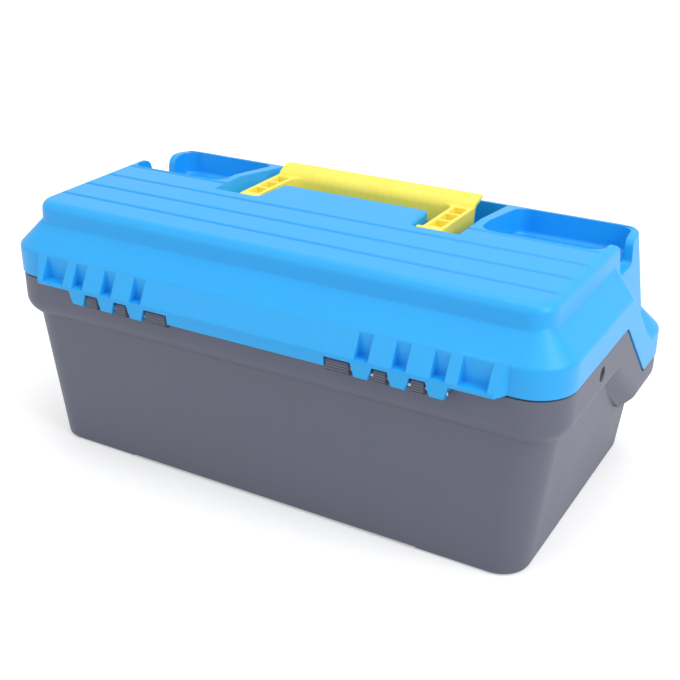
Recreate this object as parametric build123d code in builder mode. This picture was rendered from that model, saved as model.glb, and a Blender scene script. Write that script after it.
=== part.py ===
from build123d import *
from math import atan2, tan
import os

os.makedirs("parts", exist_ok=True)

# Outline of the lid, the widest part of the box, seen from above
lid_length = 380.0
lid_depth = 210.0
corner_radius = 24.5
wall = 2.4
half_length = lid_length / 2
half_depth = lid_depth / 2
span = lid_length
embed = 1.0
flat_limit = 0.01
upright_limit = 0.95
leaning_limit = 0.5
seat = (Align.CENTER, Align.CENTER, Align.MIN)

# Parting line between lid and tub, seen from the end
parting_back = 122.0
parting_fall = 48.5
step_run = 48.5
step_front_inset = 49.0
step_round = 6.0
parting_gap = 1.2
parting_front = parting_back - parting_fall
step_front_y = half_depth - step_front_inset
step_back_y = step_front_y - step_run
step_angle = atan2(parting_fall, step_run)
step_shift = tan(step_angle / 2)

# Lid heights and the leaning walls above its skirt
skirt_height = 17.0
skirt_round = 3.5
flare = 18.0
bend_round = 20.0
crease_round = 2.0
lid_rise = 45.5
roof_wall = 3.6
roof_edge_round = 6.0
block_start = 7.5
block_low_inset = 12.2
block_low_inset_front = 10.7
block_top_inset = 15.0
block_top_inset_front = 33.8
block_radius = 13.5
lid_top = parting_back + lid_rise
block_low = parting_front + skirt_height + block_start
mass_low = parting_front - 2 * skirt_height

# Open trays in the lid and the front wall beyond them
tray_deep = 23.5
tray_depth = 66.0
tray_front_wall = 1.7
tray_end_wall = 4.8
tray_corner = 9.0
tray_floor_round = 3.0
hump_length = 23.5
hump_fall = 1.5
hump_round = 7.0
return_length = 19.0
return_round = 7.0
notch_near_lean = 3.0
notch_far_lean = 1.2
notch_corner = 3.0
slope_start = 16.5
front_wall_fall = 6.8
front_wall_top_width = 4.5
front_edge_round = 2.5
tray_floor = lid_top - tray_deep
tray_far_y = half_depth - block_top_inset_front - tray_front_wall
tray_near_y = tray_far_y - tray_depth
tray_outer_x = half_length - block_top_inset - tray_end_wall
notch_near_y = tray_near_y + hump_length
notch_far_y = tray_far_y - return_length
front_slope_y = tray_near_y + slope_start
front_wall_y = tray_far_y + front_wall_top_width
front_wall_top = lid_top - front_wall_fall

# Roof grooves, each a gentle fall toward a steep riser
groove_pitch = 22.8
groove_count = 4
groove_margin = 17.0
groove_first = 3.5
groove_riser = 0.4
groove_run = 3.4
groove_depth = 2.0

# Handle bay in the lid, with one slot for each arm beside the roof's tongue
bay_deep = 25.5
bay_half = 88.5
bay_lean = 8.5
bay_setback = 16.0
slot_setback = 13.5
slot_inner_x = 55.5
tongue_taper = 2.2
tongue_round = 2.5
bay_corner = 3.0
tray_divide = 5.5
divide_solid = 12.0
rest_setback = 13.5
rest_width = 8.0
rest_depth = 4.0
rest_gap = 0.3
bay_floor = lid_top - bay_deep
bay_near_y = tray_near_y + bay_setback
slot_near_y = tray_near_y - slot_setback
bay_slope = bay_lean / bay_deep
tray_inner_x = bay_half + tray_divide

# Carry handle
handle_pin_diameter = 4.0
pivot_setback = 7.5
pivot_drop = 9.0
handle_pin_bite_inner = 5.0
handle_pin_bite_outer = 1.5
running_clearance = 0.05
side_play = 0.5
arm_gap = 4.1
arm_width = 14.0
arm_radius = 6.3
outer_hub_radius = 4.2
rail = 2.8
cell_depth = 5.0
cell_length = 11.0
cell_pitch = 13.5
cell_count = 3
cell_setback = 9.5
grip_drop = 17.0
grip_stand = 3.3
grip_setback = 12.0
grip_reach = 13.3
grip_fall = 4.0
grip_lean = 3.2
grip_wall = 3.0
grip_round = 8.0
grip_edge = 1.2
grip_corner = 2.5
grip_blend = 8.0
grip_rib_count = 19
grip_rib_pitch = 5.6
grip_rib_width = 1.6
grip_rib_inset = 2.0
handle_pivot_y = slot_near_y + pivot_setback
handle_pivot_z = lid_top - pivot_drop
slot_outer_x = bay_half - bay_slope * (pivot_drop + arm_radius)
pin_start = slot_inner_x - handle_pin_bite_inner
pin_end = bay_half + handle_pin_bite_outer
arm_inner_x = slot_inner_x + arm_gap
arm_outer_x = arm_inner_x + arm_width
grip_low = lid_top - grip_drop
grip_high = lid_top + grip_stand
grip_far_y = tray_far_y - grip_setback
grip_bend_y = grip_far_y - grip_reach
grip_near_y = grip_bend_y - grip_lean
rest_x = (arm_inner_x + arm_outer_x) / 2
rest_y = bay_near_y + rest_setback

# Hinge along the back
hinge_reach = 4.3
hinge_drop = 4.8
hinge_pin_diameter = 3.0
hinge_radius = 4.4
hinge_inset = 112.0
hinge_tab_pitch = 22.85
hinge_tab_count = 3
tab_top_width = 14.0
tab_bottom_width = 7.4
tab_inner_reach = 1.5
knuckle_clearance = 0.6
knuckle_reach = 22.4
knuckle_drop = 1.6
knuckle_face = 3.2
ridge_count = 4
ridge_pitch = 1.6
ridge_width = 0.6
ridge_depth = 0.5
apron_rise = 18.0
apron_lift = 0.2
apron_reach = 7.9
apron_edge = 2.4
apron_inset = 34.0
apron_root_inset = 29.5
apron_lip_drop = 6.0
apron_lip_gap = 1.1
apron_lip_lean = 0.8
pocket_lift = 2.6
pocket_reach = 0.6
narrow_pocket = 8.4
wide_pocket = 16.6
wide_pocket_gap = 11.7
hinge_pin_inset = 0.6
hinge_pin_end = 5.8
hinge_y = -half_depth - hinge_reach
hinge_z = parting_back - hinge_drop
hinge_tab_x = [half_length - hinge_inset + k * hinge_tab_pitch for k in range(hinge_tab_count)]
tab_inner_y = -half_depth - tab_inner_reach
inner_knuckle_x = hinge_tab_x[0] - knuckle_reach
knuckle_top = parting_back - knuckle_drop
apron_top = parting_back + apron_rise
apron_low = parting_back + apron_lift
apron_low_y = -half_depth - apron_reach
apron_half = half_length - apron_inset
apron_root_half = half_length - apron_root_inset
apron_lip_low = parting_back - apron_lip_drop
apron_lip_half = inner_knuckle_x - apron_lip_gap
pocket_low = parting_back + pocket_lift
pocket_floor_y = -half_depth - pocket_reach

# Tub
tub_bottom_inset_x = 19.5
tub_bottom_inset_y = 10.0
tub_bottom_radius = 18.0
tub_top_inset = 4.5
tub_top_radius = 23.0
rim_inset = 0.6
rim_wall = 3.5
rim_height = 23.0
rim_height_front = 15.0
rim_flare = 10.0
rim_round = 12.0
lip_play = 0.6
lip_height = 4.0
lip_root = 6.0
tub_floor = 4.8
foot_reach = 84.0
foot_height = 2.0
tub_edge_round = 3.0
tub_bottom_length = lid_length - 2 * tub_bottom_inset_x
tub_bottom_depth = lid_depth - 2 * tub_bottom_inset_y

# Moulded recess in each end of the tub rim
recess_setback = 43.5
recess_drop = 12.3
recess_width = 9.0
recess_height = 1.5
recess_depth = 2.6
recess_post_shift = 1.5
recess_post_radius = 1.8
recess_post_height = 4.2
recess_y = step_back_y - recess_setback
recess_low = parting_back - recess_drop

# Front latches
latch_inset = 85.0
latch_width = 32.0
latch_pivot_reach = 4.4
latch_pivot_rise = 13.0
latch_barrel = 4.0
latch_pin_diameter = 3.0
latch_gap = 2.4
latch_thickness = 2.8
latch_drop = 23.5
latch_lip = 3.2
latch_lip_root = 5.2
latch_edge = 1.0
lug_width = 4.5
lug_radius = 4.3
lug_play = 0.5
catch_depth = 1.6
catch_drop = 6.5
catch_slope = 2.0
catch_land = 2.0
catch_ramp = 6.2
catch_gap = 0.55
catch_width = 22.0
hook_rise = 3.0
latch_groove_count = 3
latch_groove_start = 9.2
latch_groove_pitch = 4.0
latch_groove_width = 1.2
latch_groove_depth = 0.6
latch_x = half_length - latch_inset
latch_pivot_y = half_depth + latch_pivot_reach
latch_pivot_z = parting_front + latch_pivot_rise
latch_inner_y = half_depth + latch_gap
latch_low = parting_front - latch_drop
hook_low = latch_low + hook_rise
catch_top = parting_front - catch_drop
catch_crest = catch_top - catch_slope
catch_edge = catch_crest - catch_land

# Lift-out tray, its dividers and the tub's ribs that carry it
inner_tray_gap_x = 14.5
inner_tray_gap_y = 17.0
inner_tray_radius = 10.0
inner_tray_height = 40.0
inner_tray_rise = 6.5
inner_tray_wall = 2.0
rib_inset_x = 18.0
rib_inset_y = 23.0
rib_width = 5.0
rib_reach = 40.0
lift_room = 33.6
bar_half = 58.0
bar_shoulder = 46.0
bar_thickness = 7.0
bar_round = 6.0
bar_grip = 8.0
window_half = 38.0
window_lift = 5.0
divider_pitch = 64.0
divider_count = 4
divider_thickness = 1.6
divider_play = 0.35
rail_width = 2.0
rail_reach = 3.0
divider_drop = 4.0
divider_round = 5.0
pin_ease = 0.1
inner_tray_length = tub_bottom_length - 2 * inner_tray_gap_x
inner_tray_depth = tub_bottom_depth - 2 * inner_tray_gap_y
tray_high = parting_front + inner_tray_rise
tray_low = tray_high - inner_tray_height
rib_x = inner_tray_length / 2 - rib_inset_x + rib_reach / 2
rib_y = inner_tray_depth / 2 - rib_inset_y
bar_top = bay_floor - wall - lift_room
window_high = bar_top - bar_grip
window_low = tray_high + window_lift
divider_x = [(k - (divider_count - 1) / 2) * divider_pitch for k in range(divider_count)]


def parting_region(rise, rise_front, low, bend):
    """Solid under the parting line moved up by its two rises, down to low, its bends rounded."""
    corners = [
        (-span, low),
        (-span, parting_back + rise),
        (step_back_y + rise * step_shift, parting_back + rise),
        (step_front_y + rise_front * step_shift, parting_front + rise_front),
        (span, parting_front + rise_front),
        (span, low),
    ]
    with BuildPart() as region:
        with BuildSketch(Plane.YZ) as outline:
            with BuildLine():
                Polyline(*corners, close=True)
            make_face()
            if bend > 0:
                fillet(outline.vertices().filter_by(lambda v: abs(v.X) < span - embed), radius=bend)
        extrude(amount=span, both=True)
    return region.part


def rim_edges(part, keep):
    """Edges along the outline of part, upright ones left out, whose height keep accepts."""
    sides = part.faces().filter_by(lambda f: abs(f.normal_at().Z) < flat_limit)
    level = sides.edges().filter_by(lambda e: abs(e.tangent_at(0.5).Z) < upright_limit)
    return level.filter_by(keep)


def flare_bends(part):
    """Edges where the flare of the lid turns with the step of the parting line."""
    slide = (skirt_height + flare) * step_shift
    lines = part.edges().filter_by(GeomType.LINE)
    across = lines.filter_by(Axis.X).filter_by(
        lambda e: min(abs(e.center().Y - step_back_y - slide), abs(e.center().Y - step_front_y - slide))
        < embed
    )
    oblique = lines.filter_by(lambda e: min(abs(v) for v in tuple(e.tangent_at(0.5))) > flat_limit)
    return across.filter_by(lambda e: e.center().Z > mass_low + embed) + oblique


def lid_mass(inset):
    """Solid mass of the lid, every wall moved inward by inset and its rounds to match."""
    top = lid_top - inset
    flare_top = skirt_height + flare
    under_flare = parting_region(flare_top, flare_top, mass_low - embed, 0)
    with BuildPart() as mass:
        with BuildSketch(Plane.XY.offset(mass_low)):
            RectangleRounded(lid_length - 2 * inset, lid_depth - 2 * inset, corner_radius - inset)
        extrude(amount=lid_top)
        add(under_flare, mode=Mode.INTERSECT)
        chamfer(rim_edges(mass, lambda e: e.center().Z > mass_low + embed), length=flare)
        fillet(flare_bends(mass), radius=bend_round)
        fillet(
            rim_edges(mass, lambda e: e.center().Z > mass_low + embed), radius=skirt_round - inset
        )
        for z, side, front in (
            (block_low, block_low_inset, block_low_inset_front),
            (top, block_top_inset, block_top_inset_front),
        ):
            length = lid_length - 2 * side - 2 * inset
            depth = lid_depth - side - front - 2 * inset
            with BuildSketch(Plane.XY.offset(z)):
                with Locations((0, (side - front) / 2)):
                    RectangleRounded(length, depth, block_radius - inset / 2)
        loft()
        walls = mass.faces().filter_by(
            lambda f: f.bounding_box().max.Z > top - embed and abs(f.normal_at().Z) < leaning_limit
        )
        crease = walls.edges().filter_by(lambda e: e.bounding_box().max.Z < top - embed)
        fillet(crease, radius=crease_round + inset)
        fillet(mass.faces().sort_by(Axis.Z)[-1].edges(), radius=roof_edge_round - inset)
        # The top falls gently from the roof to the front wall
        with BuildSketch(Plane.YZ):
            with BuildLine():
                Polyline(
                    (front_slope_y, top),
                    (front_wall_y, front_wall_top - inset),
                    (span, front_wall_top - inset),
                    (span, top + flare),
                    (front_slope_y, top + flare),
                    close=True,
                )
            make_face()
        extrude(amount=span, both=True, mode=Mode.SUBTRACT)
        if inset == 0:
            tops = mass.faces().filter_by(lambda f: f.normal_at().Z > upright_limit)
            slope_edges = tops.sort_by(Axis.Z)[0].edges()
            fillet(
                slope_edges.filter_by(lambda e: e.center().Y > front_slope_y + embed),
                radius=front_edge_round,
            )
    return mass.part


def lid_basins(grow):
    """Space of the two trays and the handle bay, every face moved outward by grow."""
    high = lid_top + 2 * flare
    low_reach = bay_half - bay_slope * (bay_deep + grow) + grow
    high_reach = bay_half + bay_slope * (high - lid_top) + grow
    with BuildPart() as bay:
        with BuildSketch(Plane.XY.offset(bay_floor - grow)) as plan:
            with BuildLine():
                Polyline(
                    (-span, slot_near_y),
                    (-slot_inner_x, slot_near_y),
                    (-slot_inner_x + tongue_taper, bay_near_y),
                    (slot_inner_x - tongue_taper, bay_near_y),
                    (slot_inner_x, slot_near_y),
                    (span, slot_near_y),
                    (span, tray_far_y),
                    (-span, tray_far_y),
                    close=True,
                )
            make_face()
            if grow > 0:
                offset(amount=grow, kind=Kind.INTERSECTION)
            fillet(plan.vertices().filter_by(lambda v: abs(v.X) < bay_half), radius=bay_corner)
        extrude(amount=high - bay_floor)
        with BuildSketch(Plane.XZ):
            with BuildLine():
                Polyline(
                    (-low_reach, bay_floor - grow),
                    (low_reach, bay_floor - grow),
                    (high_reach, high),
                    (-high_reach, high),
                    close=True,
                )
            make_face()
        extrude(amount=span, both=True, mode=Mode.INTERSECT)
    with BuildPart() as basins:
        for side in (-1, 1):
            with BuildSketch(Plane.XY.offset(tray_floor - grow)):
                middle = side * (tray_inner_x + tray_outer_x) / 2
                with Locations((middle, (tray_near_y + tray_far_y) / 2)):
                    RectangleRounded(
                        tray_outer_x - tray_inner_x + 2 * grow,
                        tray_far_y - tray_near_y + 2 * grow,
                        tray_corner + grow,
                    )
            tray = extrude(amount=high - tray_floor)
            if grow == 0:
                fillet(tray.faces().sort_by(Axis.Z)[0].edges(), radius=tray_floor_round)
        add(bay.part)
    return basins.part


def lid_solid_blocks():
    """Places inside the lid that stay solid: tray ends, dividers and handle pin seats."""
    high = lid_top + flare
    low = tray_floor - wall
    divide_start = bay_half - bay_slope * divide_solid
    with BuildPart() as blocks:
        for side in (-1, 1):
            with Locations((side * (tray_outer_x + flare), (tray_near_y + tray_far_y) / 2, low)):
                Box(2 * flare, tray_far_y - tray_near_y, high - low, align=seat)
            divide_low = lid_top - divide_solid
            middle = side * (divide_start + tray_inner_x) / 2
            with Locations((middle, (slot_near_y + tray_far_y) / 2, divide_low)):
                Box(tray_inner_x - divide_start, tray_far_y - slot_near_y, high - divide_low, align=seat)
            outer_start = bay_half - bay_lean
            outer_end = pin_end + wall
            with Locations((side * (outer_start + outer_end) / 2, handle_pivot_y + wall, low)):
                Box(outer_end - outer_start, 2 * arm_radius + 4 * wall, high - low, align=seat)
            inner_end = pin_start - wall
            with Locations((side * (slot_inner_x + inner_end) / 2, handle_pivot_y, low)):
                Box(slot_inner_x - inner_end, 2 * arm_radius, high - low, align=seat)
    return blocks.part


def tub_mass(inset, rim_thickness):
    """Solid mass of the tub, walls moved inward by inset and the rim band by rim_thickness."""
    rim_length = lid_length - 2 * (rim_inset + rim_thickness)
    rim_depth = lid_depth - 2 * (rim_inset + rim_thickness)
    under_rim = parting_region(-rim_height - rim_flare, -rim_height_front - rim_flare, -span, 0)
    with BuildPart() as band:
        with BuildSketch(Plane.XY):
            RectangleRounded(rim_length, rim_depth, corner_radius - rim_inset - rim_thickness)
        extrude(amount=lid_top)
        add(under_rim, mode=Mode.SUBTRACT)
        chamfer(rim_edges(band, lambda e: e.center().Z < lid_top - embed), length=rim_flare)
        fillet(
            rim_edges(band, lambda e: e.center().Z < lid_top - embed), radius=rim_round - rim_thickness
        )
    with BuildPart() as mass:
        with BuildSketch(Plane.XY):
            RectangleRounded(
                tub_bottom_length - 2 * inset, tub_bottom_depth - 2 * inset, tub_bottom_radius - inset
            )
        with BuildSketch(Plane.XY.offset(parting_back)):
            RectangleRounded(
                lid_length - 2 * (tub_top_inset + inset),
                lid_depth - 2 * (tub_top_inset + inset),
                tub_top_radius - inset,
            )
        loft()
        if inset == 0:
            fillet(mass.faces().sort_by(Axis.Z)[0].edges(), radius=tub_edge_round)
        add(band.part)
    return mass.part


lid_outer = lid_mass(0)
lid_inner = lid_mass(wall)
basins = lid_basins(0)
basin_walls = lid_basins(wall)
solid_blocks = lid_solid_blocks()
under_lid = parting_region(0, 0, -span, step_round)

with BuildPart() as lid_void:
    add(lid_inner)
    add(basin_walls, mode=Mode.SUBTRACT)
    add(solid_blocks, mode=Mode.SUBTRACT)
    with Locations((0, 0, lid_top - roof_wall)):
        Box(lid_length, lid_depth, roof_wall, align=seat, mode=Mode.SUBTRACT)

# Wedge along the back of the lid that carries the hinge tabs
with BuildPart() as apron:
    with BuildSketch(Plane.YZ):
        with BuildLine():
            Polyline(
                (-half_depth + embed, apron_top),
                (-half_depth, apron_top),
                (apron_low_y, apron_low + apron_edge),
                (apron_low_y, apron_low),
                (-half_depth + embed, apron_low),
                close=True,
            )
        make_face()
    extrude(amount=half_length, both=True)
    with BuildSketch(Plane.XY):
        with BuildLine():
            Polyline(
                (-apron_root_half, -half_depth),
                (-apron_half, apron_low_y),
                (apron_half, apron_low_y),
                (apron_root_half, -half_depth),
                (apron_root_half, -half_depth + embed),
                (-apron_root_half, -half_depth + embed),
                close=True,
            )
        make_face()
    extrude(amount=lid_top, mode=Mode.INTERSECT)
    with BuildSketch(Plane.YZ):
        with BuildLine():
            Polyline(
                (apron_low_y, apron_low + apron_edge),
                (apron_low_y + apron_lip_lean, apron_lip_low),
                (-half_depth, apron_lip_low),
                (-half_depth, apron_low + apron_edge),
                close=True,
            )
        make_face()
    extrude(amount=apron_lip_half, both=True)
    for side in (-1, 1):
        pockets = [(side * x, narrow_pocket) for x in hinge_tab_x]
        pockets.append((side * (hinge_tab_x[-1] + wide_pocket_gap + wide_pocket / 2), wide_pocket))
        for x, width in pockets:
            with Locations((x, pocket_floor_y, pocket_low)):
                Box(
                    width,
                    half_depth,
                    half_depth,
                    align=(Align.CENTER, Align.MAX, Align.MIN),
                    mode=Mode.SUBTRACT,
                )

# Hinge tabs, rounded about the pin
with BuildPart() as tabs:
    tab_low = hinge_z - hinge_radius
    for side in (-1, 1):
        for x in hinge_tab_x:
            with BuildSketch(Plane.XZ.offset(half_depth)):
                with BuildLine():
                    Polyline(
                        (side * x - tab_top_width / 2, apron_low + embed),
                        (side * x - tab_bottom_width / 2, tab_low),
                        (side * x + tab_bottom_width / 2, tab_low),
                        (side * x + tab_top_width / 2, apron_low + embed),
                        close=True,
                    )
                make_face()
    extrude(amount=2 * hinge_radius, both=True)
    with BuildSketch(Plane.YZ):
        with Locations((hinge_y, hinge_z)):
            Circle(hinge_radius)
        with Locations(((apron_low_y + tab_inner_y) / 2, (hinge_z + apron_low + embed) / 2)):
            Rectangle(tab_inner_y - apron_low_y, apron_low + embed - hinge_z)
        with Locations((apron_low_y - hinge_radius, hinge_z)):
            Rectangle(2 * hinge_radius, 4 * hinge_radius, mode=Mode.SUBTRACT)
    extrude(amount=half_length, both=True, mode=Mode.INTERSECT)
    with BuildSketch(Plane.YZ):
        with Locations((hinge_y, hinge_z)):
            Circle(hinge_pin_diameter / 2 + running_clearance)
    extrude(amount=half_length, both=True, mode=Mode.SUBTRACT)

# Lugs that carry the latch pins
with BuildPart() as lugs:
    for side in (-1, 1):
        for hand in (-1, 1):
            x = side * latch_x + hand * (latch_width / 2 + lug_play + lug_width / 2)
            with BuildSketch(Plane.YZ.offset(x)):
                with Locations((latch_pivot_y, latch_pivot_z)):
                    Circle(lug_radius)
                with Locations(((latch_pivot_y + half_depth - embed) / 2, latch_pivot_z)):
                    Rectangle(latch_pivot_y - half_depth + embed, 2 * lug_radius)
                with Locations((latch_pivot_y, latch_pivot_z)):
                    Circle(latch_pin_diameter / 2, mode=Mode.SUBTRACT)
            extrude(amount=lug_width / 2, both=True)

with BuildPart() as lid:
    add(lid_outer)
    add(lid_void.part, mode=Mode.SUBTRACT)
    add(basins, mode=Mode.SUBTRACT)
    # Soft edges round the tongue of the roof
    level = lid.edges().filter_by(lambda e: e.bounding_box().min.Z > lid_top - flat_limit)
    inner = level.filter_by(lambda e: abs(e.center().X) < bay_half - embed)
    fillet(inner.filter_by_position(Axis.Y, slot_near_y - embed, bay_near_y + embed), radius=tongue_round)
    # Scoop in each end of the trays, between the roof end and the front wall
    for side in (-1, 1):
        with BuildSketch(Plane.YZ.offset(side * half_length)) as scoop:
            with BuildLine():
                Polyline(
                    (tray_near_y, lid_top + flare),
                    (tray_near_y, lid_top),
                    (notch_near_y - notch_near_lean, lid_top - hump_fall),
                    (notch_near_y, tray_floor),
                    (notch_far_y, tray_floor),
                    (notch_far_y + notch_far_lean, front_wall_top),
                    (tray_far_y, front_wall_top),
                    (tray_far_y, lid_top + flare),
                    close=True,
                )
            make_face()
            floor_corners = scoop.vertices().filter_by(lambda v: v.Y < tray_floor + embed)
            fillet(floor_corners, radius=notch_corner)
            hump = scoop.vertices().filter_by_position(Axis.X, tray_near_y + embed, notch_near_y)
            fillet(hump.filter_by(lambda v: v.Y > lid_top - hump_fall - embed), radius=hump_round)
            wall_end = scoop.vertices().filter_by_position(Axis.X, notch_far_y, tray_far_y - embed)
            fillet(wall_end.filter_by(lambda v: v.Y > front_wall_top - embed), radius=return_round)
        extrude(amount=-side * (half_length - tray_outer_x + tray_corner), mode=Mode.SUBTRACT)
    # Grooves along the roof; the one by the trays stops at the handle bay
    groove_end = half_length - groove_margin
    for k in range(groove_count):
        y = tray_near_y - groove_first - k * groove_pitch
        runs = [(-groove_end, groove_end)]
        if k == 0:
            runs = [(-groove_end, -bay_half), (bay_half, groove_end)]
        for start, end in runs:
            with BuildSketch(Plane.YZ.offset(start)):
                with BuildLine():
                    Polyline(
                        (y - 2 * groove_riser, lid_top + groove_depth),
                        (y, lid_top - groove_depth),
                        (y + 2 * groove_run, lid_top + groove_depth),
                        close=True,
                    )
                make_face()
            extrude(amount=end - start, mode=Mode.SUBTRACT)
    add(under_lid, mode=Mode.SUBTRACT)
    add(apron.part)
    add(tabs.part)
    add(lugs.part)
    # Rests under the arms of the folded handle
    arm_low = handle_pivot_z - arm_radius
    arm_drop = (arm_low - grip_low) / (grip_near_y - handle_pivot_y)
    rest_top = arm_low - arm_drop * (rest_y + rest_depth / 2 - handle_pivot_y)
    with Locations((rest_x, rest_y, bay_floor), (-rest_x, rest_y, bay_floor)):
        Box(rest_width, rest_depth, rest_top - rest_gap - bay_floor, align=seat)
    # Seats of the handle pins
    for side in (-1, 1):
        with BuildSketch(Plane.YZ.offset(side * pin_start)):
            with Locations((handle_pivot_y, handle_pivot_z)):
                Circle(handle_pin_diameter / 2)
        extrude(amount=side * (pin_end - pin_start), mode=Mode.SUBTRACT)
lid.part.label = "lid"
export_step(lid.part, "parts/lid.step")

tub_outer = tub_mass(0, 0)
tub_inner = tub_mass(wall, rim_wall)
tub_top = parting_region(-parting_gap, -parting_gap, -span, step_round)
lip_top = parting_region(lip_height, lip_height, -span, step_round)
lip_base = parting_region(-lip_root, -lip_root, -span, step_round)
half_tab = tab_top_width / 2 + knuckle_clearance
knuckle_starts = [inner_knuckle_x] + [x + half_tab for x in hinge_tab_x[:-1]]
knuckle_spans = [(start, x - half_tab) for start, x in zip(knuckle_starts, hinge_tab_x)]

# Space inside the tub, with the ribs that carry the lift-out tray left standing
with BuildPart() as tub_void:
    add(tub_inner)
    with Locations((0, 0, tub_floor)):
        Box(
            lid_length,
            lid_depth,
            lid_top,
            align=(Align.CENTER, Align.CENTER, Align.MAX),
            mode=Mode.SUBTRACT,
        )
    for side in (-1, 1):
        with Locations((side * rib_x, rib_y, 0), (side * rib_x, -rib_y, 0)):
            Box(rib_reach, rib_width, tray_low, align=seat, mode=Mode.SUBTRACT)

# Lip that stands inside the lid skirt
with BuildPart() as lip:
    with BuildSketch(Plane.XY):
        lip_inset = wall + lip_play
        RectangleRounded(
            lid_length - 2 * lip_inset, lid_depth - 2 * lip_inset, corner_radius - lip_inset
        )
    extrude(amount=lid_top)
    add(lip_top, mode=Mode.INTERSECT)
    add(lip_base, mode=Mode.SUBTRACT)

# Hinge knuckles on the back of the tub
with BuildPart() as knuckles:
    for side in (-1, 1):
        for start, end in knuckle_spans:
            with BuildSketch(Plane.YZ.offset(side * start)):
                with Locations((hinge_y, hinge_z)):
                    Circle(hinge_radius)
                root_y = -half_depth + rim_inset + embed
                low = hinge_z - hinge_radius
                with Locations(((hinge_y + root_y) / 2, (low + knuckle_top) / 2)):
                    Rectangle(root_y - hinge_y, knuckle_top - low)
                with Locations((hinge_y, hinge_z)):
                    Circle(hinge_pin_diameter / 2, mode=Mode.SUBTRACT)
                with Locations((hinge_y - knuckle_face - hinge_radius, hinge_z)):
                    Rectangle(2 * hinge_radius, 4 * hinge_radius, mode=Mode.SUBTRACT)
                for k in range(ridge_count):
                    z = hinge_z + (k - (ridge_count - 1) / 2) * ridge_pitch
                    with Locations((hinge_y - knuckle_face, z)):
                        Rectangle(2 * ridge_depth, ridge_width, mode=Mode.SUBTRACT)
            extrude(amount=side * (end - start))

# Catches on the front of the tub
with BuildPart() as catches:
    for side in (-1, 1):
        rim_y = half_depth - rim_inset
        with BuildSketch(Plane.YZ.offset(side * latch_x)):
            with BuildLine():
                Polyline(
                    (rim_y - rim_wall, catch_top),
                    (rim_y, catch_top),
                    (rim_y + catch_depth, catch_crest),
                    (rim_y + catch_depth, catch_edge),
                    (rim_y, catch_edge - catch_ramp),
                    (rim_y - rim_wall, catch_edge - catch_ramp),
                    close=True,
                )
            make_face()
        extrude(amount=catch_width / 2, both=True)

with BuildPart() as base_tub:
    add(tub_outer)
    add(tub_top, mode=Mode.INTERSECT)
    add(lip.part)
    add(tub_void.part, mode=Mode.SUBTRACT)
    add(knuckles.part)
    add(catches.part)
    # The bottom is lifted between the two end feet
    with Locations((0, 0, foot_height)):
        Box(
            2 * (half_length - foot_reach),
            lid_depth,
            lid_top,
            align=(Align.CENTER, Align.CENTER, Align.MAX),
            mode=Mode.SUBTRACT,
        )
    # Small arched recess in each end of the rim
    for side in (-1, 1):
        with BuildSketch(Plane.YZ.offset(side * (half_length - rim_inset))):
            with Locations((recess_y, recess_low + recess_height / 2)):
                Rectangle(recess_width, recess_height)
            with Locations((recess_y, recess_low + recess_height)):
                Circle(recess_width / 2)
        extrude(amount=-side * recess_depth, mode=Mode.SUBTRACT)
        post_x = half_length - rim_inset - recess_depth
        with Locations((side * post_x, recess_y - recess_post_shift, recess_low)):
            Cylinder(recess_post_radius, recess_post_height, align=seat)
base_tub.part.label = "base_tub"
export_step(base_tub.part, "parts/base_tub.step")

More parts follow.
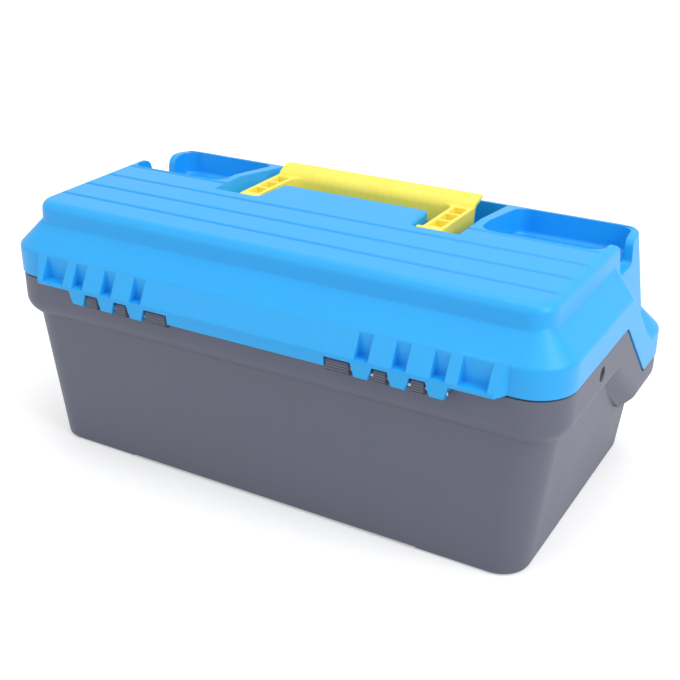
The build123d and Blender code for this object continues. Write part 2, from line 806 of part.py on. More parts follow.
# Handle: two ladder arms and a grip bent from one thick skin, with ribs behind it
with BuildPart() as carry_handle:
    grip_bend_z = grip_high - grip_fall
    skin_bend_y = grip_bend_y + grip_wall * (1 - grip_lean / (grip_bend_z - grip_low))
    skin_bend_z = grip_bend_z - grip_wall * (1 - grip_fall / grip_reach)
    with BuildSketch(Plane.YZ) as skin:
        with BuildLine():
            Polyline(
                (grip_near_y, grip_low),
                (grip_bend_y, grip_bend_z),
                (grip_far_y, grip_high),
                (grip_far_y, grip_high - grip_wall),
                (skin_bend_y, skin_bend_z),
                (grip_near_y + grip_wall, grip_low),
                close=True,
            )
        make_face()
        bends = skin.vertices().filter_by_position(Axis.X, grip_bend_y - embed, skin_bend_y + embed)
        outside = bends.filter_by(lambda v: v.Y > skin_bend_z + embed)
        fillet(outside, radius=grip_round)
        inside = skin.vertices().filter_by(lambda v: abs(v.X - skin_bend_y) < flat_limit)
        fillet(inside, radius=grip_round - grip_wall)
        tips = skin.vertices().filter_by(lambda v: v.Y < grip_low + embed or v.X > grip_far_y - embed)
        fillet(tips, radius=grip_edge)
    extrude(amount=arm_outer_x, both=True)
    with BuildSketch(Plane.XZ.offset(-grip_far_y)):
        with Locations((0, (grip_low + grip_high) / 2)):
            RectangleRounded(2 * arm_outer_x, grip_high - grip_low, grip_corner)
    extrude(amount=grip_far_y, both=True, mode=Mode.INTERSECT)
    for side in (-1, 1):
        with BuildSketch(Plane.YZ.offset(side * arm_inner_x)):
            with Locations((handle_pivot_y, handle_pivot_z)):
                Circle(arm_radius)
            with BuildLine():
                Polyline(
                    (handle_pivot_y, handle_pivot_z - arm_radius),
                    (grip_near_y + grip_wall / 2, grip_low),
                    (grip_bend_y + grip_wall / 2, handle_pivot_z + arm_radius),
                    (handle_pivot_y, handle_pivot_z + arm_radius),
                    close=True,
                )
            make_face()
        extrude(amount=side * arm_width)
        for start, end, radius in (
            (slot_inner_x + side_play, arm_inner_x + embed, arm_radius),
            (arm_outer_x - embed, slot_outer_x - side_play, outer_hub_radius),
        ):
            with BuildSketch(Plane.YZ.offset(side * start)):
                with Locations((handle_pivot_y, handle_pivot_z)):
                    Circle(radius)
            extrude(amount=side * (end - start))
    corners = carry_handle.edges().filter_by(
        lambda e: abs(abs(e.center().X) - arm_inner_x) < flat_limit
        and grip_near_y - embed < e.center().Y < grip_bend_y + embed
        and abs(e.tangent_at(0.5).Z) > upright_limit
    )
    fillet(corners, radius=grip_blend)
    for side in (-1, 1):
        for k in range(cell_count):
            with Locations(
                (
                    side * (arm_inner_x + arm_outer_x) / 2,
                    handle_pivot_y + cell_setback + k * cell_pitch,
                    handle_pivot_z + arm_radius - cell_depth,
                )
            ):
                Box(
                    arm_width - 2 * rail,
                    cell_length,
                    lid_top,
                    align=seat,
                    mode=Mode.SUBTRACT,
                )
    for k in range(grip_rib_count):
        x = (k - (grip_rib_count - 1) / 2) * grip_rib_pitch
        with BuildSketch(Plane.YZ.offset(x)):
            with BuildLine():
                Polyline(
                    (grip_near_y + grip_wall / 2, grip_low + grip_rib_inset),
                    ((grip_bend_y + skin_bend_y) / 2, (grip_bend_z + skin_bend_z) / 2),
                    (grip_far_y - grip_rib_inset, grip_high - grip_wall / 2),
                    close=True,
                )
            make_face()
        extrude(amount=grip_rib_width / 2, both=True)
    with BuildSketch(Plane.YZ):
        with Locations((handle_pivot_y, handle_pivot_z)):
            Circle(handle_pin_diameter / 2 + running_clearance)
    extrude(amount=lid_length, both=True, mode=Mode.SUBTRACT)
carry_handle.part.label = "carry_handle"
export_step(carry_handle.part, "parts/carry_handle.step")


def pin(diameter, y, z, start, end):
    """Straight pin along X between two ends, its rims eased."""
    with BuildPart() as rod:
        with BuildSketch(Plane.YZ.offset(min(start, end))):
            with Locations((y, z)):
                Circle(diameter / 2)
        extrude(amount=abs(end - start))
        chamfer(rod.edges().filter_by(GeomType.CIRCLE), length=diameter * pin_ease)
    return rod.part


def latch(middle):
    """Snap latch that hangs from its barrel, with a hook inside and a thumb lip below."""
    rim_y = half_depth - rim_inset
    outer_y = latch_inner_y + latch_thickness
    with BuildPart() as piece:
        with BuildSketch(Plane.YZ.offset(middle)):
            with BuildLine():
                Polyline(
                    (latch_inner_y, latch_pivot_z),
                    (latch_inner_y, catch_edge),
                    (rim_y + catch_depth + catch_gap, catch_edge - catch_gap),
                    (rim_y + catch_gap, catch_edge - catch_gap - catch_ramp),
                    (rim_y + catch_gap, hook_low + catch_depth),
                    (latch_inner_y, hook_low),
                    (latch_inner_y + latch_edge, latch_low),
                    (outer_y + latch_lip, latch_low),
                    (outer_y + latch_lip, latch_low + latch_edge),
                    (outer_y, latch_low + latch_lip_root),
                    (outer_y, latch_pivot_z),
                    close=True,
                )
            make_face()
            with Locations((latch_pivot_y, latch_pivot_z)):
                Circle(latch_barrel)
            with Locations((latch_pivot_y, latch_pivot_z)):
                Circle(latch_pin_diameter / 2 + running_clearance, mode=Mode.SUBTRACT)
            for k in range(latch_groove_count):
                with Locations((outer_y, latch_low + latch_groove_start + k * latch_groove_pitch)):
                    Rectangle(2 * latch_groove_depth, latch_groove_width, mode=Mode.SUBTRACT)
        extrude(amount=latch_width / 2, both=True)
    return piece.part


for name, side in (("left", -1), ("right", 1)):
    hinge_pin = pin(
        hinge_pin_diameter,
        hinge_y,
        hinge_z,
        side * (inner_knuckle_x + hinge_pin_inset),
        side * (hinge_tab_x[-1] + hinge_pin_end),
    )
    handle_pin = pin(handle_pin_diameter, handle_pivot_y, handle_pivot_z, side * pin_start, side * pin_end)
    lug_reach = latch_width / 2 + lug_play + lug_width
    latch_pin = pin(
        latch_pin_diameter,
        latch_pivot_y,
        latch_pivot_z,
        side * latch_x - lug_reach,
        side * latch_x + lug_reach,
    )
    for label, piece in (
        ("hinge_pin_" + name, hinge_pin),
        ("handle_pin_" + name, handle_pin),
        ("latch_pin_" + name, latch_pin),
        ("latch_" + name, latch(side * latch_x)),
    ):
        piece.label = label
        export_step(piece, "parts/" + label + ".step")

# Lift-out tray: a long trough on each side of a spine with a carrying bar
inside_y = inner_tray_depth / 2 - inner_tray_wall
inside_z = tray_low + inner_tray_wall
with BuildPart() as lift_out_tray:
    with BuildSketch(Plane.XY.offset(tray_low)):
        RectangleRounded(inner_tray_length, inner_tray_depth, inner_tray_radius)
    extrude(amount=inner_tray_height)
    with BuildSketch(Plane.XY.offset(inside_z)):
        RectangleRounded(
            inner_tray_length - 2 * inner_tray_wall,
            inner_tray_depth - 2 * inner_tray_wall,
            inner_tray_radius - inner_tray_wall,
        )
    extrude(amount=inner_tray_height, mode=Mode.SUBTRACT)
    with Locations((0, 0, tray_low)):
        Box(inner_tray_length, inner_tray_wall, inner_tray_height, align=seat)
    with BuildSketch(Plane.XZ) as bar_face:
        with BuildLine():
            Polyline(
                (-bar_half, tray_low),
                (-bar_half, tray_high),
                (-bar_shoulder, bar_top),
                (bar_shoulder, bar_top),
                (bar_half, tray_high),
                (bar_half, tray_low),
                close=True,
            )
        make_face()
        fillet(bar_face.vertices().filter_by(lambda v: v.Y > tray_high + embed), radius=bar_round)
        with Locations((0, (window_low + window_high) / 2)):
            RectangleRounded(
                2 * window_half, window_high - window_low, bar_round, mode=Mode.SUBTRACT
            )
    extrude(amount=bar_thickness / 2, both=True)
    # Pairs of rails that hold the loose dividers in the front trough
    for x in divider_x:
        for hand in (-1, 1):
            rail_x = x + hand * (divider_thickness / 2 + divider_play + rail_width / 2)
            spine_y = bar_thickness / 2 if abs(x) < bar_half else inner_tray_wall / 2
            with Locations((rail_x, inside_y, inside_z)):
                Box(
                    rail_width,
                    rail_reach,
                    inner_tray_height - inner_tray_wall - divider_drop,
                    align=(Align.CENTER, Align.MAX, Align.MIN),
                )
            with Locations((rail_x, spine_y, inside_z)):
                Box(
                    rail_width,
                    rail_reach,
                    inner_tray_height - inner_tray_wall - divider_drop,
                    align=(Align.CENTER, Align.MIN, Align.MIN),
                )
lift_out_tray.part.label = "lift_out_tray"
export_step(lift_out_tray.part, "parts/lift_out_tray.step")

for number, x in enumerate(divider_x, start=1):
    spine_y = bar_thickness / 2 if abs(x) < bar_half else inner_tray_wall / 2
    start_y = spine_y + divider_play
    end_y = inside_y - divider_play
    with BuildPart() as divider:
        with BuildSketch(Plane.YZ.offset(x)) as plate:
            height = inner_tray_height - inner_tray_wall - divider_drop
            with Locations(((start_y + end_y) / 2, inside_z + height / 2)):
                Rectangle(end_y - start_y, height)
            fillet(plate.vertices().filter_by(lambda v: v.Y > inside_z + embed), radius=divider_round)
        extrude(amount=divider_thickness / 2, both=True)
    divider.part.label = "tray_divider_" + str(number)
    export_step(divider.part, "parts/tray_divider_" + str(number) + ".step")
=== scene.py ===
import logging
import math
from dataclasses import dataclass, field
from enum import Enum
from typing import Any, Dict, List, Optional, Tuple, Union

import bmesh
import bpy
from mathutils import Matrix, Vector

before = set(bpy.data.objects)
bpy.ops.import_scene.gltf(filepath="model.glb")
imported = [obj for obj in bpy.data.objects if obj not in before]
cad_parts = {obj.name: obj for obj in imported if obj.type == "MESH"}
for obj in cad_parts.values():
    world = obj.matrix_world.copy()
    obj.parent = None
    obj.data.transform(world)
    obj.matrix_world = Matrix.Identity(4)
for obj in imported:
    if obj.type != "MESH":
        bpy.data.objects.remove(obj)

log = logging.getLogger("tackle_box")

Colour = Tuple[float, float, float]
ColourWithAlpha = Tuple[float, float, float, float]
Point = Tuple[float, float, float]

BLACK: Colour = (0.0, 0.0, 0.0)
WHITE: Colour = (1.0, 1.0, 1.0)


class MouldWall(Enum):
    """How the steel wall of the mould was finished, which the plastic copies."""

    SATIN = "satin"
    SPARK = "spark"


class Grain(Enum):
    """Squeeze of a pattern along each direction, which draws it out into streaks."""

    EVEN = (1.0, 1.0, 1.0)
    ALONG_X = (0.06, 1.0, 1.0)
    ALONG_Z = (1.0, 1.0, 0.06)


class Signal:
    """One number socket, with arithmetic that adds Math nodes to its graph."""

    def __init__(self, graph: "Graph", socket: bpy.types.NodeSocket) -> None:
        """Wraps a socket of a graph."""
        self.graph = graph
        self.socket = socket

    def __add__(self, other: "Operand") -> "Signal":
        """Sum."""
        return self.graph.math("ADD", self, other)

    def __radd__(self, other: "Operand") -> "Signal":
        """Sum with the number first."""
        return self.graph.math("ADD", other, self)

    def __sub__(self, other: "Operand") -> "Signal":
        """Difference."""
        return self.graph.math("SUBTRACT", self, other)

    def __rsub__(self, other: "Operand") -> "Signal":
        """Difference with the number first."""
        return self.graph.math("SUBTRACT", other, self)

    def __mul__(self, other: "Operand") -> "Signal":
        """Product."""
        return self.graph.math("MULTIPLY", self, other)

    def __rmul__(self, other: "Operand") -> "Signal":
        """Product with the number first."""
        return self.graph.math("MULTIPLY", other, self)

    def __lt__(self, other: "Operand") -> "Signal":
        """1 where the signal is smaller, else 0."""
        return self.graph.math("LESS_THAN", self, other)

    def __gt__(self, other: "Operand") -> "Signal":
        """1 where the signal is larger, else 0."""
        return self.graph.math("GREATER_THAN", self, other)

    def __abs__(self) -> "Signal":
        """Size without the sign."""
        return self.graph.math("ABSOLUTE", self)

    def clamped(self) -> "Signal":
        """The signal held between 0 and 1."""
        node = self.graph.node("ShaderNodeClamp", {}, {"Value": self, "Min": 0.0, "Max": 1.0})
        return Signal(self.graph, node.outputs[0])

    def swing(self, gain: float) -> "Signal":
        """Departure from a half, times a gain."""
        return (self - 0.5) * gain

    def mixed(self, other: "Signal", share: float) -> "Signal":
        """Weighted mean with another signal.

        Args:
            other: the second signal.
            share: weight of this signal, between 0 and 1.

        Returns:
            The mean.
        """
        return share * self + (1 - share) * other


Operand = Union[Signal, float, int]


class Graph:
    """Node tree of a material or of the world, built up call by call."""

    NOISE_ROUGHNESS = 0.55
    EDGE_SAMPLES = 6

    def __init__(self, tree: bpy.types.NodeTree) -> None:
        """Empties a node tree and takes it over."""
        tree.nodes.clear()
        self.tree = tree

    def node(
        self,
        kind: str,
        settings: Optional[Dict[str, Any]] = None,
        inputs: Optional[Dict[Union[int, str], Any]] = None,
    ) -> bpy.types.Node:
        """Adds any node.

        Args:
            kind: Blender's node type.
            settings: attributes of the node, set first.
            inputs: values or links by socket name or index.

        Returns:
            The new node.
        """
        made = self.tree.nodes.new(kind)
        for key, value in (settings or {}).items():
            setattr(made, key, value)
        for key, value in (inputs or {}).items():
            socket = made.inputs[key]
            if isinstance(value, Signal):
                value = value.socket
            if isinstance(value, bpy.types.NodeSocket):
                self.tree.links.new(value, socket)
            else:
                socket.default_value = value
        return made

    def math(self, operation: str, *operands: Operand) -> Signal:
        """Adds one Math node.

        Args:
            operation: Blender's name of the operation.
            operands: its inputs in order.

        Returns:
            The result as a new signal.
        """
        made = self.node("ShaderNodeMath", {"operation": operation}, dict(enumerate(operands)))
        return Signal(self, made.outputs[0])

    def place(self) -> bpy.types.NodeSocket:
        """Place on the piece, in metres in the frame of the whole box."""
        return self.node("ShaderNodeTexCoord").outputs["Object"]

    def coordinate(self, direction: str) -> Signal:
        """One coordinate of the place on the piece.

        Args:
            direction: X, Y or Z.

        Returns:
            The coordinate in metres.
        """
        parts = self.node("ShaderNodeSeparateXYZ", {}, {0: self.place()})
        return Signal(self, parts.outputs[direction])

    def noise(self, size: float, detail: float, grain: Grain = Grain.EVEN) -> Signal:
        """Soft random pattern.

        Args:
            size: size of a patch in metres.
            detail: number of finer layers.
            grain: direction in which the patches are drawn out.

        Returns:
            Values round a half.
        """
        place = self.node(
            "ShaderNodeVectorMath", {"operation": "MULTIPLY"}, {0: self.place(), 1: grain.value}
        )
        made = self.node(
            "ShaderNodeTexNoise",
            {"noise_dimensions": "3D"},
            {
                "Vector": place.outputs[0],
                "Scale": 1.0 / size,
                "Detail": detail,
                "Roughness": self.NOISE_ROUGHNESS,
            },
        )
        return Signal(self, made.outputs[0])

    def pits(self, size: float) -> Signal:
        """Small round pits of a spark-eroded wall.

        Args:
            size: spacing in metres.

        Returns:
            Distance from the nearest pit, in pit sizes.
        """
        made = self.node(
            "ShaderNodeTexVoronoi",
            {"feature": "SMOOTH_F1"},
            {"Vector": self.place(), "Scale": 1.0 / size},
        )
        return Signal(self, made.outputs["Distance"])

    def blend(self, amount: Signal, first: Any, second: Any) -> bpy.types.NodeSocket:
        """Mix of two colours.

        Args:
            amount: 0 gives the first colour and 1 the second.
            first: colour socket or colour with alpha.
            second: colour socket or colour with alpha.

        Returns:
            A colour socket.
        """
        made = self.node(
            "ShaderNodeMix",
            {"data_type": "RGBA", "clamp_factor": True},
            {0: amount, 6: first, 7: second},
        )
        return made.outputs[2]

    def soft_edges(self, radius: float) -> bpy.types.NodeSocket:
        """Normal that turns smoothly over edges.

        Args:
            radius: radius of the edge round in metres.

        Returns:
            A normal socket.
        """
        made = self.node("ShaderNodeBevel", {"samples": self.EDGE_SAMPLES}, {"Radius": radius})
        return made.outputs[0]

    def edge_mask(self, rounded: bpy.types.NodeSocket, gain: float) -> Signal:
        """How much the rounded normal departs from the flat one.

        Args:
            rounded: normal socket of soft edges.
            gain: factor on the departure.

        Returns:
            0 on open faces, rising to 1 on edges.
        """
        flat = self.node("ShaderNodeNewGeometry").outputs["Normal"]
        agree = self.node(
            "ShaderNodeVectorMath", {"operation": "DOT_PRODUCT"}, {0: rounded, 1: flat}
        )
        return ((1 - Signal(self, agree.outputs["Value"])) * gain).clamped()

    def bump(
        self, height: Signal, depth: float, normal: bpy.types.NodeSocket
    ) -> bpy.types.NodeSocket:
        """Fine relief on top of a normal.

        Args:
            height: relief between 0 and 1.
            depth: full height in metres.
            normal: normal socket that carries the relief.

        Returns:
            A normal socket.
        """
        made = self.node(
            "ShaderNodeBump",
            {},
            {"Strength": 1.0, "Distance": depth, "Height": height, "Normal": normal},
        )
        return made.outputs[0]

    def seen_directly(self) -> Signal:
        """1 for a ray from the camera or from a mirror reflection, else 0."""
        ray = self.node("ShaderNodeLightPath")
        camera = Signal(self, ray.outputs["Is Camera Ray"])
        return (camera + Signal(self, ray.outputs["Is Glossy Ray"])).clamped()

    def finish(self, shader: bpy.types.Node, output: str = "ShaderNodeOutputMaterial") -> None:
        """Ends the graph in a shader.

        Args:
            shader: node whose first output is the shader.
            output: type of the output node.
        """
        self.node(output, {}, {"Surface": shader.outputs[0]})


def new_material(name: str) -> Tuple[bpy.types.Material, Graph]:
    """Starts a node material.

    Args:
        name: name of the material.

    Returns:
        The material and its empty graph.
    """
    material = bpy.data.materials.new(name)
    material.use_nodes = True
    return material, Graph(material.node_tree)


def solid(colour: Colour) -> ColourWithAlpha:
    """The colour with full alpha."""
    return (*colour, 1.0)


def grey(level: float) -> ColourWithAlpha:
    """Neutral colour of a level, with full alpha."""
    return solid((level, level, level))


@dataclass(frozen=True)
class Pigment:
    """Linear colours of a plastic: its tint, its deeper patches and its worn edges."""

    tint: Colour
    deep: Colour
    edge: Colour


TUB_GREY = Pigment((0.114, 0.121, 0.172), (0.105, 0.112, 0.159), (0.200, 0.210, 0.260))
LID_BLUE = Pigment((0.013, 0.394, 0.870), (0.010, 0.369, 0.845), (0.090, 0.500, 0.930))
YELLOW = Pigment((0.960, 0.815, 0.125), (0.920, 0.760, 0.092), (0.970, 0.900, 0.260))
TRAY_GREY = Pigment((0.150, 0.160, 0.205), (0.138, 0.148, 0.192), (0.220, 0.230, 0.280))
DIVIDER_GREY = Pigment((0.230, 0.240, 0.280), (0.210, 0.220, 0.262), (0.300, 0.310, 0.350))


@dataclass(frozen=True)
class SinkMarks:
    """Faint shrink lines that ribs on the far side draw on a face.

    Sizes are in metres, and tint is how far the lines shift the colour: painted light and shade
    that follow the relief.
    """

    pitch: float
    half_width: float
    start_y: float
    depth: float
    tint: float = 0.3

    def height(self, graph: Graph) -> Signal:
        """Relief of the lines.

        Args:
            graph: graph of the material.

        Returns:
            Values between 0 and 1, even outside the ribbed face.
        """
        along = graph.coordinate("X")
        wave = graph.math("COSINE", along * (2 * math.pi / self.pitch))
        ribbed = (abs(along) < self.half_width) * (graph.coordinate("Y") > self.start_y)
        return wave * 0.5 * ribbed + 0.5


@dataclass(frozen=True)
class PaintedGrooveShade:
    """Painted shade low in each groove of the roof, darkening the colour where the groove's own
    shade falls.

    Sizes are in metres. The tone ends a little under a groove, at margin times its depth.
    """

    pitch: float
    count: int
    run: float
    depth: float
    half_length: float
    bay_half: float
    roof: float
    tone: Colour
    share: float
    margin: float = 1.2

    def mask(self, graph: Graph) -> Signal:
        """Where the painted groove shade lies.

        Args:
            graph: graph of the material.

        Returns:
            0 on the roof, rising to 1 at the bottom of a groove.
        """
        across, height = graph.coordinate("Y"), graph.coordinate("Z")
        along = abs(graph.coordinate("X"))
        near_line = graph.math("PINGPONG", across, self.pitch / 2) < self.run
        last = -self.pitch * (self.count - 1) - self.run
        in_rows = (across > last) * (across < self.run)
        off_bay = 1 - (across > -self.run) * (along < self.bay_half)
        within = along < self.half_length
        low = ((self.roof - height) * (1 / self.depth)).clamped()
        above = height > self.roof - self.margin * self.depth
        return near_line * in_rows * off_bay * within * low * above


@dataclass(frozen=True)
class MouldedPlastic:
    """Polypropylene with the finish of its mould wall.

    Sizes are in metres. Glow is how much light wanders inside the plastic, over glow_reach
    times the glow_spread of each colour.
    """

    name: str
    pigment: Pigment
    wall: MouldWall
    roughness: float
    refraction: float = 1.49
    edge_radius: float = 0.0008
    edge_share: float = 0.3
    edge_gain: float = 2.5
    cloud_size: float = 0.045
    cloud_share: float = 0.7
    cloud_contrast: float = 1.6
    cloud_gloss: float = 0.12
    streak_size: float = 0.01575
    wear_size: float = 0.006
    wear_least: float = 0.4
    wear_gain: float = 0.8
    pit_size: float = 0.0007
    pit_share: float = 0.6
    grit_size: float = 0.0004
    satin_size: float = 0.0009
    satin_share: float = 0.7
    ripple_size: float = 0.004
    grain_depth: float = 0.00002
    grain_gloss: float = 0.08
    glow: float = 0.0
    glow_reach: float = 0.005
    glow_spread: Colour = (1.0, 0.75, 0.12)
    marks: Optional[SinkMarks] = None
    groove_shade: Optional[PaintedGrooveShade] = None

    def grain(self, graph: Graph) -> Signal:
        """Fine relief of the mould wall.

        Args:
            graph: graph of the material.

        Returns:
            Values round a half.
        """
        if self.wall is MouldWall.SPARK:
            grit = graph.noise(self.grit_size, detail=2.0)
            return graph.pits(self.pit_size).mixed(grit, self.pit_share)
        ripple = graph.noise(self.ripple_size, detail=1.0)
        return graph.noise(self.satin_size, detail=2.0).mixed(ripple, self.satin_share)

    def material(self) -> bpy.types.Material:
        """Builds the node material of this finish."""
        material, graph = new_material(self.name)
        cloud = graph.noise(self.cloud_size, detail=3.0)
        streak = graph.noise(self.streak_size, detail=2.0, grain=Grain.ALONG_Z)
        blotch = cloud.mixed(streak, self.cloud_share).swing(self.cloud_contrast) + 0.5
        normal = graph.soft_edges(self.edge_radius)
        wear = self.wear_least + graph.noise(self.wear_size, detail=2.0) * self.wear_gain
        worn = graph.edge_mask(normal, self.edge_gain) * wear
        if self.marks:
            relief = self.marks.height(graph)
            # Painted light and shade: the relief of the lines also shifts the colour, lighter and
            # darker in turn.
            blotch = blotch + relief.swing(self.marks.tint)
            normal = graph.bump(relief, self.marks.depth, normal)
        colour = graph.blend(blotch.clamped(), solid(self.pigment.deep), solid(self.pigment.tint))
        colour = graph.blend(worn * self.edge_share, colour, solid(self.pigment.edge))
        # Painted shade: the colour darkens towards the bottom of each roof groove.
        if self.groove_shade:
            shade = self.groove_shade.mask(graph) * self.groove_shade.share
            colour = graph.blend(shade, colour, solid(self.groove_shade.tone))
        grain = self.grain(graph)
        rough = self.roughness + cloud.swing(self.cloud_gloss) + grain.swing(self.grain_gloss)
        shader = graph.node(
            "ShaderNodeBsdfPrincipled",
            {},
            {
                "Base Color": colour,
                "Roughness": rough.clamped(),
                "IOR": self.refraction,
                "Subsurface Weight": self.glow,
                "Subsurface Radius": self.glow_spread,
                "Subsurface Scale": self.glow_reach,
                "Normal": graph.bump(grain, self.grain_depth, normal),
            },
        )
        graph.finish(shader)
        return material


@dataclass(frozen=True)
class DrawnSteel:
    """Bright drawn wire, with fine lines along its length. Sizes are in metres."""

    name: str
    bright: Colour
    dull: Colour
    roughness: float
    line_size: float = 0.0006
    line_share: float = 0.6
    line_gloss: float = 0.25
    line_depth: float = 0.000008
    stain_size: float = 0.004
    edge_radius: float = 0.0002

    def material(self) -> bpy.types.Material:
        """Builds the node material of this finish."""
        material, graph = new_material(self.name)
        lines = graph.noise(self.line_size, detail=3.0, grain=Grain.ALONG_X)
        stain = graph.noise(self.stain_size, detail=2.0)
        tone = lines.mixed(stain, self.line_share).clamped()
        edges = graph.soft_edges(self.edge_radius)
        shader = graph.node(
            "ShaderNodeBsdfPrincipled",
            {},
            {
                "Base Color": graph.blend(tone, solid(self.dull), solid(self.bright)),
                "Metallic": 1.0,
                "Roughness": (self.roughness + lines.swing(self.line_gloss)).clamped(),
                "Normal": graph.bump(lines, self.line_depth, edges),
            },
        )
        graph.finish(shader)
        return material


Finish = Union[MouldedPlastic, DrawnSteel]


def dress(nodes: List[str], finish: Finish) -> None:
    """Gives pieces of the frame their finish.

    Args:
        nodes: names of the pieces.
        finish: what they are made of.
    """
    material = finish.material()
    for name in nodes:
        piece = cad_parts[name]
        piece.data.materials.clear()
        piece.data.materials.append(material)
        log.info("%s in %s", name, finish.name)


@dataclass
class Tub:
    """Flared tub with its steel hinge pins."""

    plastic_roughness: float = 0.50
    edge_radius: float = 0.0014
    pin_roughness: float = 0.32

    def build(self) -> None:
        """Dresses the tub and the pins that are pressed into it."""
        self.dress_tub()
        self.dress_pins()

    def dress_tub(self) -> None:
        """Dark grey plastic from a spark-eroded mould."""
        plastic = MouldedPlastic(
            name="tub_grey_plastic",
            pigment=TUB_GREY,
            wall=MouldWall.SPARK,
            roughness=self.plastic_roughness,
            edge_radius=self.edge_radius,
        )
        dress(["base_tub"], plastic)

    def dress_pins(self) -> None:
        """Drawn steel wire."""
        steel = DrawnSteel(
            name="hinge_pin_steel",
            bright=(0.66, 0.66, 0.67),
            dull=(0.48, 0.48, 0.50),
            roughness=self.pin_roughness,
        )
        dress(["hinge_pin_left", "hinge_pin_right"], steel)


@dataclass
class Lid:
    """Blue lid with its trays, and the pins that it carries. Sizes are in metres."""

    plastic_roughness: float = 0.42
    edge_radius: float = 0.0010
    pin_roughness: float = 0.30
    roof: float = 0.1675
    bay_half: float = 0.0887
    groove_pitch: float = 0.0228
    groove_count: int = 4
    groove_run: float = 0.0034
    groove_depth: float = 0.002
    groove_half_length: float = 0.169
    # Colour and strength of the painted shade at the bottom of each roof groove.
    groove_shade_colour: Colour = (0.001, 0.170, 0.560)
    groove_shade_share: float = 0.9

    def build(self) -> None:
        """Dresses the lid and the pins that are pressed into it."""
        self.dress_lid()
        self.dress_pins()

    def dress_lid(self) -> None:
        """Sky-blue plastic from a satin mould, with painted shade in each roof groove."""
        groove_shade = PaintedGrooveShade(
            pitch=self.groove_pitch,
            count=self.groove_count,
            run=self.groove_run,
            depth=self.groove_depth,
            half_length=self.groove_half_length,
            bay_half=self.bay_half,
            roof=self.roof,
            tone=self.groove_shade_colour,
            share=self.groove_shade_share,
        )
        plastic = MouldedPlastic(
            name="lid_blue_plastic",
            pigment=LID_BLUE,
            wall=MouldWall.SATIN,
            roughness=self.plastic_roughness,
            edge_radius=self.edge_radius,
            groove_shade=groove_shade,
        )
        dress(["lid"], plastic)

    def dress_pins(self) -> None:
        """Drawn steel wire."""
        steel = DrawnSteel(
            name="lid_pin_steel",
            bright=(0.68, 0.68, 0.69),
            dull=(0.50, 0.50, 0.52),
            roughness=self.pin_roughness,
        )
        sides = ("left", "right")
        dress([f"{kind}_pin_{side}" for kind in ("handle", "latch") for side in sides], steel)


@dataclass
class Handle:
    """Yellow carry handle, whose ribs draw faint lines on the grip. Sizes are in metres."""

    plastic_roughness: float = 0.40
    edge_radius: float = 0.0009
    glow: float = 0.35
    rib_pitch: float = 0.0056
    ribbed_half: float = 0.0532
    grip_start: float = 0.040
    mark_depth: float = 0.00005

    def build(self) -> None:
        """Dresses the handle in bright yellow plastic."""
        marks = SinkMarks(
            pitch=self.rib_pitch,
            half_width=self.ribbed_half,
            start_y=self.grip_start,
            depth=self.mark_depth,
        )
        plastic = MouldedPlastic(
            name="handle_yellow_plastic",
            pigment=YELLOW,
            wall=MouldWall.SATIN,
            roughness=self.plastic_roughness,
            edge_radius=self.edge_radius,
            glow=self.glow,
            marks=marks,
        )
        dress(["carry_handle"], plastic)


@dataclass
class Latches:
    """Two snap latches on the front."""

    plastic_roughness: float = 0.40
    edge_radius: float = 0.0005

    def build(self) -> None:
        """Dresses the latches in the yellow of the handle."""
        plastic = MouldedPlastic(
            name="latch_yellow_plastic",
            pigment=YELLOW,
            wall=MouldWall.SATIN,
            roughness=self.plastic_roughness,
            edge_radius=self.edge_radius,
        )
        dress(["latch_left", "latch_right"], plastic)


@dataclass
class LiftOutTray:
    """Loose tray and the dividers that drop into it."""

    tray_roughness: float = 0.48
    divider_count: int = 4
    divider_roughness: float = 0.45
    divider_edge: float = 0.0003

    def build(self) -> None:
        """Dresses the tray and its dividers in two greys."""
        tray_plastic = MouldedPlastic(
            name="tray_grey_plastic",
            pigment=TRAY_GREY,
            wall=MouldWall.SPARK,
            roughness=self.tray_roughness,
        )
        divider_plastic = MouldedPlastic(
            name="divider_grey_plastic",
            pigment=DIVIDER_GREY,
            wall=MouldWall.SATIN,
            roughness=self.divider_roughness,
            edge_radius=self.divider_edge,
        )
        dress(["lift_out_tray"], tray_plastic)
        dress([f"tray_divider_{k + 1}" for k in range(self.divider_count)], divider_plastic)


@dataclass(frozen=True)
class Lamp:
    """Round soft lamp that faces the box. Sizes in metres, power in watts."""

    name: str
    place: Point
    size: float
    power: float


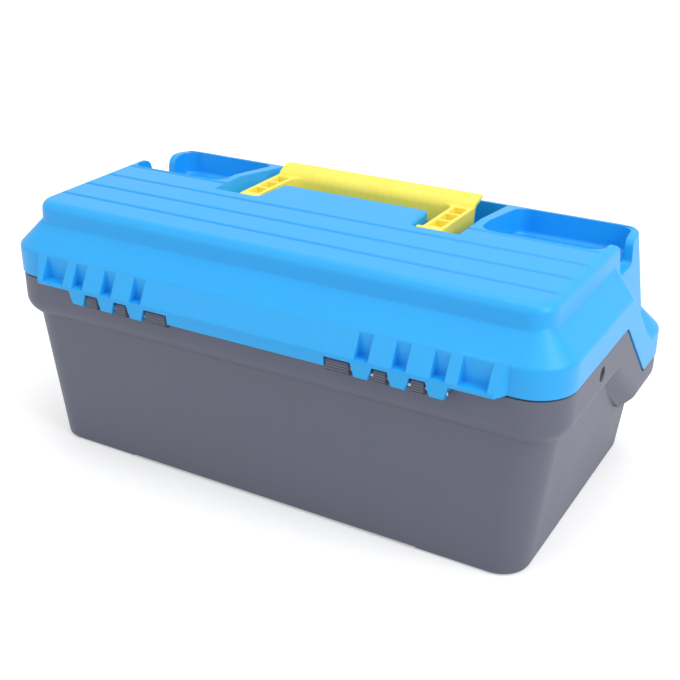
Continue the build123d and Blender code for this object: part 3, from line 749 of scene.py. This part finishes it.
@dataclass
class Studio:
    """Pale floor, soft lamps, a white room and the camera.

    Sizes are in metres, angles in degrees and the sensor's width in millimetres.
    """

    floor_half: float = 6.0
    floor_cells: int = 24
    floor_level: float = 0.86
    fibre_level: float = 0.8471
    fibre_size: float = 0.003
    floor_lift: float = 0.32
    floor_lift_far: float = 0.60
    lift_start: float = 0.55
    world_level: float = 0.62
    azimuth: float = 29.90
    elevation: float = 25.414
    distance: float = 0.77003
    aim: Point = (-0.00233, 0.00493, 0.07004)
    focal_pixels: float = 1140.97
    frame_pixels: float = 680.0
    sensor_width: float = 36.0
    clip_near: float = 0.02
    clip_far: float = 60.0
    lamps: List[Lamp] = field(
        default_factory=lambda: [
            Lamp("key", (1.4, -0.25, 1.2), 1.0, 13.2),
            Lamp("fill", (-0.8, -1.6, 1.1), 1.4, 5.0),
            Lamp("top", (0.0, 0.1, 1.7), 1.4, 9.0),
        ]
    )

    def build(self) -> None:
        """Sets up the whole studio."""
        bpy.context.scene.view_settings.view_transform = "Standard"
        self.build_floor()
        self.build_world()
        for lamp in self.lamps:
            self.build_lamp(lamp)
        self.build_camera()

    def build_floor(self) -> None:
        """Wide sheet of white paper under the box."""
        mesh = bpy.data.meshes.new("floor")
        shape = bmesh.new()
        bmesh.ops.create_grid(
            shape, x_segments=self.floor_cells, y_segments=self.floor_cells, size=self.floor_half
        )
        shape.to_mesh(mesh)
        shape.free()
        floor = bpy.data.objects.new("floor", mesh)
        bpy.context.scene.collection.objects.link(floor)
        mesh.materials.append(self.floor_material())

    def floor_material(self) -> bpy.types.Material:
        """Matt white paper that the camera sees as white, with the box's shadow."""
        material, graph = new_material("white_paper")
        fibres = graph.noise(self.fibre_size, detail=3.0)
        colour = graph.blend(fibres, grey(self.floor_level), grey(self.fibre_level))
        paper = graph.node("ShaderNodeBsdfDiffuse", {}, {"Color": colour})
        reach = abs(graph.coordinate("X")) + abs(graph.coordinate("Y"))
        outer = (reach - self.lift_start).clamped()
        glow = graph.blend(outer, grey(self.floor_lift), grey(self.floor_lift_far))
        shown = graph.blend(graph.seen_directly(), solid(BLACK), glow)
        lift = graph.node("ShaderNodeEmission", {}, {"Color": shown})
        both = graph.node("ShaderNodeAddShader", {}, {0: paper.outputs[0], 1: lift.outputs[0]})
        graph.finish(both)
        return material

    def build_world(self) -> None:
        """Even soft light from all round, seen as white by the camera."""
        world = bpy.data.worlds.new("soft_room")
        world.use_nodes = True
        bpy.context.scene.world = world
        graph = Graph(world.node_tree)
        lit = graph.node(
            "ShaderNodeBackground", {}, {"Color": solid(WHITE), "Strength": self.world_level}
        )
        shown = graph.node("ShaderNodeBackground", {}, {"Color": solid(WHITE), "Strength": 1.0})
        both = graph.node(
            "ShaderNodeMixShader",
            {},
            {0: graph.seen_directly(), 1: lit.outputs[0], 2: shown.outputs[0]},
        )
        graph.finish(both, "ShaderNodeOutputWorld")

    def build_lamp(self, lamp: Lamp) -> None:
        """Adds one lamp that faces the middle of the box.

        Args:
            lamp: its place, size and power.
        """
        data = bpy.data.lights.new(lamp.name, "AREA")
        data.shape = "DISK"
        data.size = lamp.size
        data.energy = lamp.power
        made = bpy.data.objects.new(lamp.name, data)
        made.location = lamp.place
        made.rotation_mode = "QUATERNION"
        facing = Vector(self.aim) - Vector(lamp.place)
        made.rotation_quaternion = facing.to_track_quat("-Z", "Y")
        bpy.context.scene.collection.objects.link(made)

    def build_camera(self) -> None:
        """Camera at the viewing angle of the picture."""
        turn, rise = math.radians(self.azimuth), math.radians(self.elevation)
        level = math.cos(rise)
        back = Vector((math.sin(turn) * level, -math.cos(turn) * level, math.sin(rise)))
        data = bpy.data.cameras.new("camera")
        data.sensor_width = self.sensor_width
        data.lens = self.focal_pixels / self.frame_pixels * self.sensor_width
        data.clip_start = self.clip_near
        data.clip_end = self.clip_far
        data.dof.use_dof = False
        camera = bpy.data.objects.new("camera", data)
        camera.location = Vector(self.aim) + back * self.distance
        camera.rotation_mode = "QUATERNION"
        camera.rotation_quaternion = (-back).to_track_quat("-Z", "Y")
        bpy.context.scene.collection.objects.link(camera)
        bpy.context.scene.camera = camera


def main() -> None:
    """Dresses the box piece by piece and sets up the studio."""
    logging.basicConfig(level=logging.INFO, format="%(message)s")
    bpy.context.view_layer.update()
    for part in (Tub(), Lid(), Handle(), Latches(), LiftOutTray(), Studio()):
        part.build()
        log.info("%s done", type(part).__name__)


if __name__ == "__main__":
    main()
